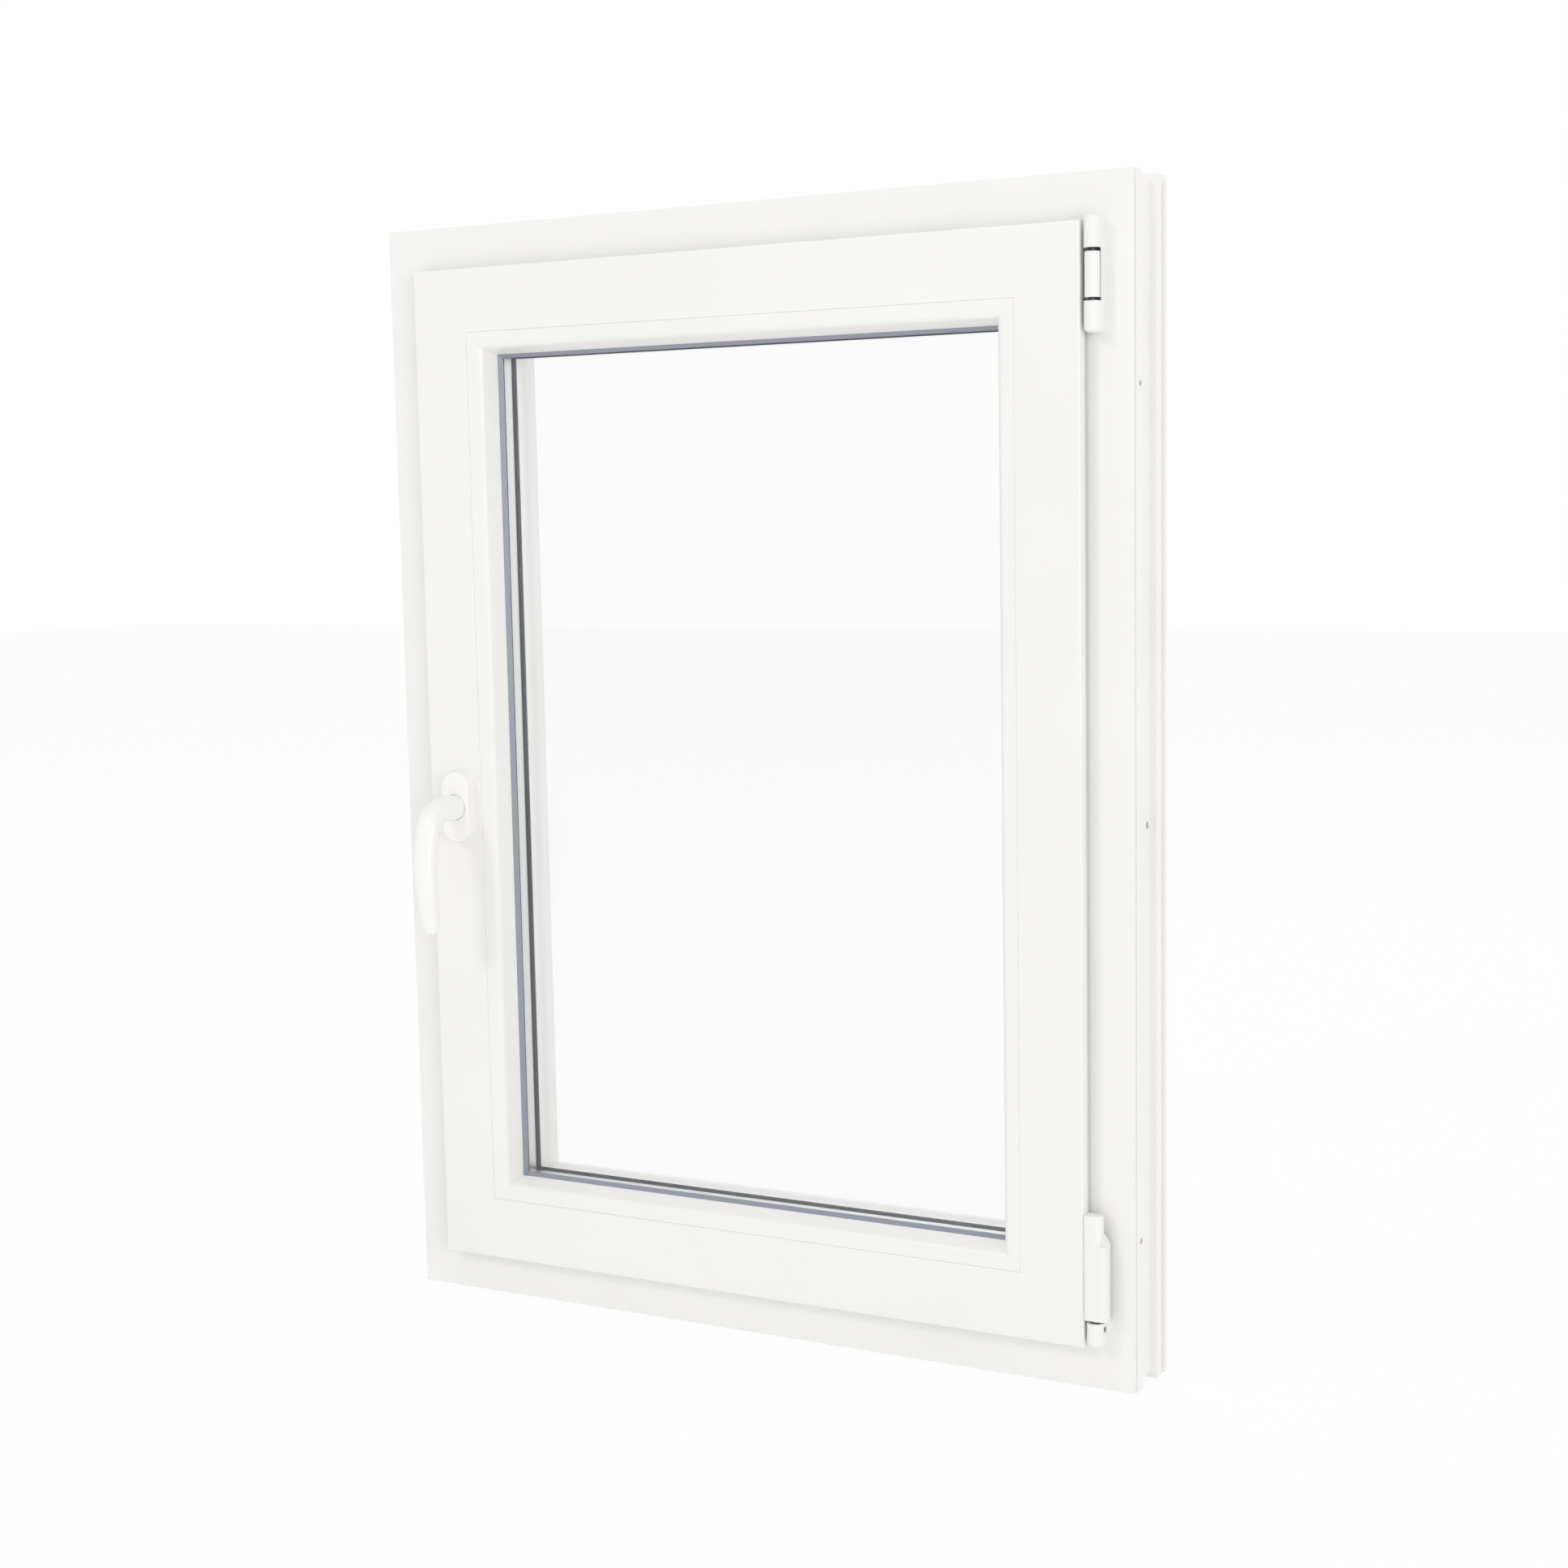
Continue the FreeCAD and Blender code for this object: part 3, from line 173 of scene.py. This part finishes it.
def grained_white(name, code, grain, depth, roughness, ior):
    material, tree, output = start_material(name)
    place = add_node(tree, "ShaderNodeTexCoord").outputs["Object"]
    peel = add_node(tree, "ShaderNodeTexNoise", {"Vector": place, "Scale": 1 / grain, "Detail": 2.0})
    relief = add_node(tree, "ShaderNodeBump",
                      {"Height": peel.outputs["Fac"], "Strength": GRAIN_RELIEF, "Distance": depth})
    gloss = add_node(tree, "ShaderNodeMapRange",
                     {"Value": peel.outputs["Fac"], "To Min": roughness - ROUGHNESS_SPREAD,
                      "To Max": roughness + ROUGHNESS_SPREAD})
    skin = add_node(tree, "ShaderNodeBsdfPrincipled",
                    {"Base Color": colour(code), "Roughness": gloss.outputs["Result"], "IOR": ior,
                     "Normal": relief.outputs["Normal"]})
    tree.links.new(skin.outputs["BSDF"], output.inputs["Surface"])
    return material


moulded_white = grained_white("injection moulded ABS", "#F1F1EF", MOULD_GRAIN, depth=0.01 * MM,
                              roughness=0.42, ior=1.53)
coated_white = grained_white("powder-coated zinc alloy", "#F8F7F5", ORANGE_PEEL, depth=0.03 * MM,
                             roughness=0.34, ior=1.50)
print("made:", moulded_white.name, "and", coated_white.name)

# %% [markdown]
# ## Zinc-plated steel
#
# The rods, plates and screws are steel with a bright zinc coat. The metal mirrors its surroundings
# softly and unevenly, so its roughness varies from grain to grain and its shade from patch to patch.
# The upper hinge's bearing and pin show only as thin dark gaps between its caps, so they are drawn
# near black, which darkens those gaps.

# %% Make the steel
STEEL_GRAIN = 0.8 * MM          # drawn coarser than real so that it shows
STEEL_CLOUD = 18 * MM           # size of the paler and darker patches of the coat
STEEL_ROUGHNESS = (0.25, 0.45)  # least and most


def plated_steel(name, dark, light):
    material, tree, output = start_material(name)
    place = add_node(tree, "ShaderNodeTexCoord").outputs["Object"]
    cloud = add_node(tree, "ShaderNodeTexNoise", {"Vector": place, "Scale": 1 / STEEL_CLOUD, "Detail": 3.0})
    grain = add_node(tree, "ShaderNodeTexNoise", {"Vector": place, "Scale": 1 / STEEL_GRAIN, "Detail": 2.0})
    tint = add_node(tree, "ShaderNodeMix",
                    {"Factor": cloud.outputs["Fac"], "A": colour(dark), "B": colour(light)},
                    data_type="RGBA")
    gloss = add_node(tree, "ShaderNodeMapRange",
                     {"Value": grain.outputs["Fac"], "To Min": STEEL_ROUGHNESS[0],
                      "To Max": STEEL_ROUGHNESS[1]})
    skin = add_node(tree, "ShaderNodeBsdfPrincipled",
                    {"Base Color": tint.outputs["Result"], "Metallic": 1.0,
                     "Roughness": gloss.outputs["Result"]})
    tree.links.new(skin.outputs["BSDF"], output.inputs["Surface"])
    return material


steel = plated_steel("zinc-plated steel", "#C4C8CC", "#D5D6D4")
# near black, so that the thin gaps between the upper hinge's caps read dark
near_black_hinge_steel = plated_steel("near-black steel at the hinge gaps", "#3B3D40", "#4A4C4F")
print("made:", steel.name, "and", near_black_hinge_steel.name)

# %% [markdown]
# ## Seals and blocks
#
# Rubber seals are matt with a little dust in their pores. The lip that the beads press on the glass
# is a shinier, violet-grey one. The glazing blocks and the lower hinge's seat are plain moulded
# plastics. All are one recipe: two close shades in a fine pattern of pores, which also dents the skin.

# %% Make the seals and blocks
PORE = 1.0 * MM                 # drawn coarser than real so that the pores show
BLOCK_GRAIN = 2.0 * MM          # likewise
PORE_DEPTH = 0.02 * MM
SOFT_IOR = 1.5                  # of rubber and of the plain plastics


def matt_moulding(name, dark, light, grain, roughness):
    material, tree, output = start_material(name)
    place = add_node(tree, "ShaderNodeTexCoord").outputs["Object"]
    pores = add_node(tree, "ShaderNodeTexNoise", {"Vector": place, "Scale": 1 / grain, "Detail": 3.0})
    tint = add_node(tree, "ShaderNodeMix",
                    {"Factor": pores.outputs["Fac"], "A": colour(dark), "B": colour(light)},
                    data_type="RGBA")
    relief = add_node(tree, "ShaderNodeBump",
                      {"Height": pores.outputs["Fac"], "Strength": GRAIN_RELIEF, "Distance": PORE_DEPTH})
    skin = add_node(tree, "ShaderNodeBsdfPrincipled",
                    {"Base Color": tint.outputs["Result"], "Roughness": roughness, "IOR": SOFT_IOR,
                     "Normal": relief.outputs["Normal"]})
    tree.links.new(skin.outputs["BSDF"], output.inputs["Surface"])
    return material


black_rubber = matt_moulding("EPDM glazing gasket", "#2A2F3B", "#3A404E", PORE, roughness=0.42)
violet_grey_rubber = matt_moulding("TPE bead gasket", "#8E929E", "#9A9EAA", PORE, roughness=0.28)
grey_rubber = matt_moulding("TPE stop seal", "#C9CBCC", "#D6D8D8", PORE, roughness=0.5)
block_plastic = matt_moulding("polypropylene block", "#2F5C8A", "#3A6A99", BLOCK_GRAIN, roughness=0.45)
seat_plastic = matt_moulding("acetal seat", "#E4E2DA", "#ECEAE3", PORE, roughness=0.35)
print("made:", [soft.name for soft in (black_rubber, violet_grey_rubber, grey_rubber)])
print("made:", block_plastic.name, "and", seat_plastic.name)

# %% [markdown]
# ## Glass spacer
#
# The spacer between the panes is rolled from thin mill aluminium, which leaves faint streaks in its
# shine. It shows only through the glass and in a narrow band, so two shades are enough for it.

# %% Make the spacer's metal
STREAK = 2 * MM                 # width of the streaks, drawn coarser than real so that they show
SPACER_SHADES = ("#DADDDB", "#E6E9E6")
SPACER_ROUGHNESS = 0.4


def spacer_metal():
    material, tree, output = start_material("mill aluminium spacer")
    place = add_node(tree, "ShaderNodeTexCoord").outputs["Object"]
    streak = add_node(tree, "ShaderNodeTexNoise", {"Vector": place, "Scale": 1 / STREAK, "Detail": 2.0})
    tint = add_node(tree, "ShaderNodeMix",
                    {"Factor": streak.outputs["Fac"], "A": colour(SPACER_SHADES[0]),
                     "B": colour(SPACER_SHADES[1])},
                    data_type="RGBA")
    skin = add_node(tree, "ShaderNodeBsdfPrincipled",
                    {"Base Color": tint.outputs["Result"], "Metallic": 1.0,
                     "Roughness": SPACER_ROUGHNESS})
    tree.links.new(skin.outputs["BSDF"], output.inputs["Surface"])
    return material


spacer_aluminium = spacer_metal()
print("made:", spacer_aluminium.name)

# %% [markdown]
# ## Float glass
#
# Float glass is flat but for long, faint waves that only a reflection shows, and a single sheet
# hardly tints what is behind it. Rays that carry lamp light, or soft light from one surface to the
# next, are let straight through: a refracting sheet would keep them from the bars beside it and
# leave those grey.

# %% Make the glass
GLASS_TINT = "#FDFDFD"
GLASS_IOR = 1.52
GLASS_WAVE = 90 * MM            # length of the faint waves in the sheet
GLASS_WAVE_DEPTH = 0.02 * MM
GLASS_WAVE_RELIEF = 0.05        # share of that depth that is shaded


def float_glass():
    material, tree, output = start_material("float glass")
    place = add_node(tree, "ShaderNodeTexCoord").outputs["Object"]
    waviness = add_node(tree, "ShaderNodeTexNoise",
                        {"Vector": place, "Scale": 1 / GLASS_WAVE, "Detail": 0.0})
    relief = add_node(tree, "ShaderNodeBump",
                      {"Height": waviness.outputs["Fac"], "Strength": GLASS_WAVE_RELIEF,
                       "Distance": GLASS_WAVE_DEPTH})
    clear = add_node(tree, "ShaderNodeBsdfPrincipled",
                     {"Base Color": colour(GLASS_TINT), "Roughness": 0.0, "IOR": GLASS_IOR,
                      "Transmission Weight": 1.0, "Normal": relief.outputs["Normal"]})
    through = add_node(tree, "ShaderNodeBsdfTransparent", {"Color": colour(GLASS_TINT)})
    ray = add_node(tree, "ShaderNodeLightPath")
    soft = add_node(tree, "ShaderNodeMixShader",
                    {0: ray.outputs["Is Diffuse Ray"], 1: clear.outputs["BSDF"], 2: through.outputs["BSDF"]})
    both = add_node(tree, "ShaderNodeMixShader",
                    {0: ray.outputs["Is Shadow Ray"], 1: soft.outputs["Shader"], 2: through.outputs["BSDF"]})
    tree.links.new(both.outputs["Shader"], output.inputs["Surface"])
    return material


glass = float_glass()
print("made:", glass.name)

# %% [markdown]
# ## Dress the parts
#
# Each CAD part takes the finish of its own material. Steel is the commonest, so a part that the
# table doesn't name is steel, and the last line lists those so that none is steel by mistake.

# %% Give every part its finish
FINISHES = {
    rail_plastic: ("frame_head", "frame_sill", "sash_top_rail", "sash_bottom_rail", "bead_top",
                   "bead_bottom"),
    stile_plastic: ("frame_jamb_lock", "frame_jamb_hinge", "sash_lock_stile", "sash_hinge_stile",
                    "bead_lock_side", "bead_hinge_side"),
    moulded_white: ("stay_bearing_covers", "pivot_rest_cover", "stay_arm_cover", "corner_hinge_cover",
                    "drain_caps"),
    # the plate cover takes the lever's brighter white: partly a match, partly painted light against the
    # neck's shade
    coated_white: ("handle_lever", "rosette_cover"),
    # drawn near black to darken the gaps between the upper hinge's caps
    near_black_hinge_steel: ("stay_bearing", "stay_hinge_pin"),
    grey_rubber: ("frame_seal", "sash_seal"),
    violet_grey_rubber: ("bead_gasket",),
    black_rubber: ("outer_glazing_gasket", "glass_edge_seal"),
    glass: ("inner_pane", "outer_pane"),
    spacer_aluminium: ("glass_spacer",),
    block_plastic: ("glazing_blocks",),
    seat_plastic: ("pivot_bush",),
}
finish_of = {node: material for material, nodes in FINISHES.items() for node in nodes}
for name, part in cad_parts.items():
    part.data.materials.clear()
    part.data.materials.append(finish_of.get(name, steel))
print("steel parts:", sorted(set(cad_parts) - set(finish_of)))

# %% [markdown]
# ## The lever's sections
#
# The lever is die cast: a round neck leaves the plate, bends down and flattens into a grip that bows
# into the room and thins towards its tip. A curve with a bevel would bend well but keep one section,
# so here a section is set at each station along the lever. Its ring is drawn round and, where the
# lever runs downward, pushed out a little at its corners, because a grip is squarer than a neck. Then
# it is squeezed to the section's width and thickness and turned to lie across the lever.

# %% Draw the lever's rings
RING_POINTS = 16
RING_SHRINK = (2 + math.cos(2 * math.pi / RING_POINTS)) / 3     # what subdivision leaves of a ring's size
GRIP_SQUARE = 0.13          # how far the grip's section is pushed out at its corners
STATIONS = (                # mm into the room, mm down, half width, half thickness, turn in degrees
    (0.0, 0.0, 11.5, 11.5, 0), (4.0, 0.0, 11.5, 11.5, 0), (22.0, 0.0, 11.4, 11.4, 0),
    (34.0, 0.4, 11.3, 11.0, 12), (43.0, 4.4, 11.2, 10.2, 42), (48.2, 12.0, 11.0, 9.0, 68),
    (51.6, 24.0, 10.8, 8.1, 78), (54.9, 42.0, 10.6, 7.7, 84), (55.7, 58.0, 10.4, 7.4, 91),
    (54.2, 75.0, 9.8, 7.2, 96), (51.6, 91.0, 8.9, 6.6, 99), (50.0, 101.0, 7.6, 5.8, 99),
    (49.1, 107.2, 5.6, 4.3, 98), (48.7, 111.0, 3.0, 2.3, 96))


def draw_ring(shape, root, station):
    """Add one section of the lever to the bmesh. root is where the lever's axis leaves the plate."""
    out, down, half_width, half_thickness, turned = station
    angle = math.radians(turned)
    ahead = Vector((0, -math.cos(angle), -math.sin(angle)))
    outward = Vector((0, -math.sin(angle), math.cos(angle)))
    ring = bmesh.ops.create_circle(shape, segments=RING_POINTS, radius=1.0)["verts"]
    for vert in ring:
        vert.co *= 1 + GRIP_SQUARE * math.sin(angle) * (2 * vert.co.x * vert.co.y) ** 2
    sideways = Vector((half_width, 0, 0)) * MM / RING_SHRINK
    columns = (sideways, outward * half_thickness * MM / RING_SHRINK, ahead)
    place = Matrix.Translation(root + Vector((0, -out, -down)) * MM)
    bmesh.ops.transform(shape, matrix=place @ Matrix(columns).transposed().to_4x4(), verts=ring)
    return ring


lever_low, lever_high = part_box("handle_lever")
lever_root = Vector(((lever_low.x + lever_high.x) / 2, lever_high.y, lever_high.z - STATIONS[0][3] * MM))
lever_shape = bmesh.new()
rings = [draw_ring(lever_shape, lever_root, station) for station in STATIONS]
print("lever rings:", len(rings), "of", RING_POINTS, "points")

# %% [markdown]
# ## Join the rings
#
# Bridging each ring to the next gives the lever's skin in clean bands, and a face at each end closes
# it. Subdivision then rounds the whole with no seam. The finished lever takes the place of the plain
# CAD one and turns with the handle.

# %% Bridge the rings into the lever
LEVER_ROUNDING = 2          # subdivision levels


def ring_edges(ring):
    """The edges whose two ends are both in the ring."""
    return list({edge for vert in ring for edge in vert.link_edges if edge.other_vert(vert) in ring})


for near, far in zip(rings, rings[1:]):
    bmesh.ops.bridge_loops(lever_shape, edges=ring_edges(near) + ring_edges(far))
for end in (rings[0], rings[-1]):
    bmesh.ops.contextual_create(lever_shape, geom=ring_edges(end))
bmesh.ops.recalc_face_normals(lever_shape, faces=lever_shape.faces)

lever_mesh = bpy.data.meshes.new("lever")
lever_shape.to_mesh(lever_mesh)
lever_shape.free()
lever_mesh.materials.append(coated_white)
lever_mesh.shade_smooth()
lever = bpy.data.objects.new("lever", lever_mesh)
bpy.context.scene.collection.objects.link(lever)
rounding = lever.modifiers.new("rounding", "SUBSURF")
rounding.levels = rounding.render_levels = LEVER_ROUNDING
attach(lever, "handle")
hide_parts("handle_lever")
print("lever faces before rounding:", len(lever_mesh.polygons))

# %% [markdown]
# ## Floor
#
# A pale floor suits a white window. It shows as white to the camera, in reflections and through
# glass, but a share of it stays plain so that the window keeps its shadow. For soft light half of it
# glows evenly, as a light table does, because a plain floor is dim at the window's foot and would
# leave the bottom of the frame grey.

# %% Lay the floor
FLOOR_HALF = 12.0           # m
FLOOR_PAINT = "#FBFBFB"
STUDIO_WHITE = "#FFFFFF"
FLOOR_SEEN_WHITE = 0.94     # share that is white to a viewer
FLOOR_GLOW = 0.5            # share that glows for soft light


def white_to_viewers(tree):
    """1 for rays from the camera, from a reflection or through glass, and 0 for other rays."""
    ray = add_node(tree, "ShaderNodeLightPath")
    seen = add_node(tree, "ShaderNodeMath",
                    {0: ray.outputs["Is Camera Ray"], 1: ray.outputs["Is Glossy Ray"]}, operation="MAXIMUM")
    return add_node(tree, "ShaderNodeMath", {0: seen.outputs[0], 1: ray.outputs["Is Transmission Ray"]},
                    operation="MAXIMUM").outputs[0]


def floor_paint():
    material, tree, output = start_material("pale studio floor")
    plain = add_node(tree, "ShaderNodeBsdfDiffuse", {"Color": colour(FLOOR_PAINT)})
    lit = add_node(tree, "ShaderNodeEmission", {"Color": colour(STUDIO_WHITE), "Strength": 1.0})
    share = add_node(tree, "ShaderNodeMapRange",
                     {"Value": white_to_viewers(tree), "To Min": FLOOR_GLOW, "To Max": FLOOR_SEEN_WHITE})
    both = add_node(tree, "ShaderNodeMixShader",
                    {0: share.outputs["Result"], 1: plain.outputs["BSDF"], 2: lit.outputs["Emission"]})
    tree.links.new(both.outputs["Shader"], output.inputs["Surface"])
    return material


floor_mesh = bpy.data.meshes.new("floor")
floor_shape = bmesh.new()
bmesh.ops.create_grid(floor_shape, x_segments=1, y_segments=1, size=FLOOR_HALF)
floor_shape.to_mesh(floor_mesh)
floor_shape.free()
floor_mesh.materials.append(floor_paint())
floor = bpy.data.objects.new("floor", floor_mesh)
bpy.context.scene.collection.objects.link(floor)
print("floor across, m:", 2 * FLOOR_HALF)

# %% [markdown]
# ## White surround
#
# An even surround gives the soft, nearly shadowless light of a white studio. Like the floor it is
# white to a viewer. As a light it is about a third dimmer, which leaves room for the lamps.

# %% Set the surround
SURROUND_LIGHT = 0.68       # as a light, where 1 is what a viewer sees

world = bpy.data.worlds.new("white surround")
bpy.context.scene.world = world
world.use_nodes = True
tree = world.node_tree
tree.nodes.clear()
strength = add_node(tree, "ShaderNodeMapRange",
                    {"Value": white_to_viewers(tree), "To Min": SURROUND_LIGHT, "To Max": 1.0})
surround = add_node(tree, "ShaderNodeBackground",
                    {"Color": colour(STUDIO_WHITE), "Strength": strength.outputs["Result"]})
surround_output = add_node(tree, "ShaderNodeOutputWorld")
tree.links.new(surround.outputs["Background"], surround_output.inputs["Surface"])
print("surround as a light:", SURROUND_LIGHT)

# %% [markdown]
# ## Lamps
#
# Shape is read from soft shadows here, not from bright spots. The key lamp, high on the left, throws
# the lever's faint shadow. The wide side lamp lights the faces on the hinge side, the top lamp those
# that look up, and the back lamp the frame's outer side. The rear top lamp shines through the glass
# onto the slope of the bottom bead, which the lamps in front leave dull.

# %% Hang the lamps
LAMPS = (                   # name, place in m, side in m, power in W
    ("key lamp", (-2.5, -5.5, 4.2), 1.3, 54.0),
    ("side lamp", (4.4, -3.6, 0.5), 4.0, 106.0),
    ("top lamp", (0.2, -1.2, 4.4), 1.6, 11.0),
    ("back lamp", (4.0, 2.4, 1.0), 2.5, 11.0),
    ("rear top lamp", (-0.3, 2.6, 3.4), 2.5, 33.0))

window_middle = (cad_low + cad_high) / 2
for name, place, side, power in LAMPS:
    light = bpy.data.lights.new(name, "AREA")
    light.size = side
    light.energy = power
    lamp = bpy.data.objects.new(name, light)
    lamp.location = place
    lamp.rotation_euler = (window_middle - Vector(place)).to_track_quat("-Z", "Y").to_euler()
    bpy.context.scene.collection.objects.link(lamp)
print("lamps:", len(LAMPS), "of", sum(power for *_, power in LAMPS), "W together")

# %% [markdown]
# ## Camera
#
# The camera stands to the right of the window and a little above its middle, and looks slightly
# down. The shift keeps the uprights' slant as it is while the window sits off the lens axis.

# %% Place the camera
CAMERA_PLACE = (1.1476, -1.9314, 0.7210)
YAW = math.radians(-30.62)
PITCH = math.radians(-7.323)
ROLL = math.radians(-1.17)
SENSOR_WIDTH = 36.0         # mm
FOCAL_LENGTH = 60.337       # mm
SHIFT = (0.0228, 0.0399)    # right and up, in shares of the sensor's width

sight = Vector((math.sin(YAW) * math.cos(PITCH), math.cos(YAW) * math.cos(PITCH), math.sin(PITCH)))
level_right = Vector((math.cos(YAW), -math.sin(YAW), 0))
level_up = level_right.cross(sight)
right = math.cos(ROLL) * level_right + math.sin(ROLL) * level_up
up = -math.sin(ROLL) * level_right + math.cos(ROLL) * level_up
turn = Matrix((right, up, -sight)).transposed()

lens = bpy.data.cameras.new("camera")
lens.sensor_width = SENSOR_WIDTH
lens.lens = FOCAL_LENGTH
lens.shift_x, lens.shift_y = SHIFT
camera = bpy.data.objects.new("camera", lens)
camera.matrix_world = Matrix.Translation(CAMERA_PLACE) @ turn.to_4x4()
bpy.context.scene.collection.objects.link(camera)
bpy.context.scene.camera = camera
bpy.context.scene.view_settings.view_transform = "Standard"
print("camera to window, mm:", round((camera.location - window_middle).length / MM))
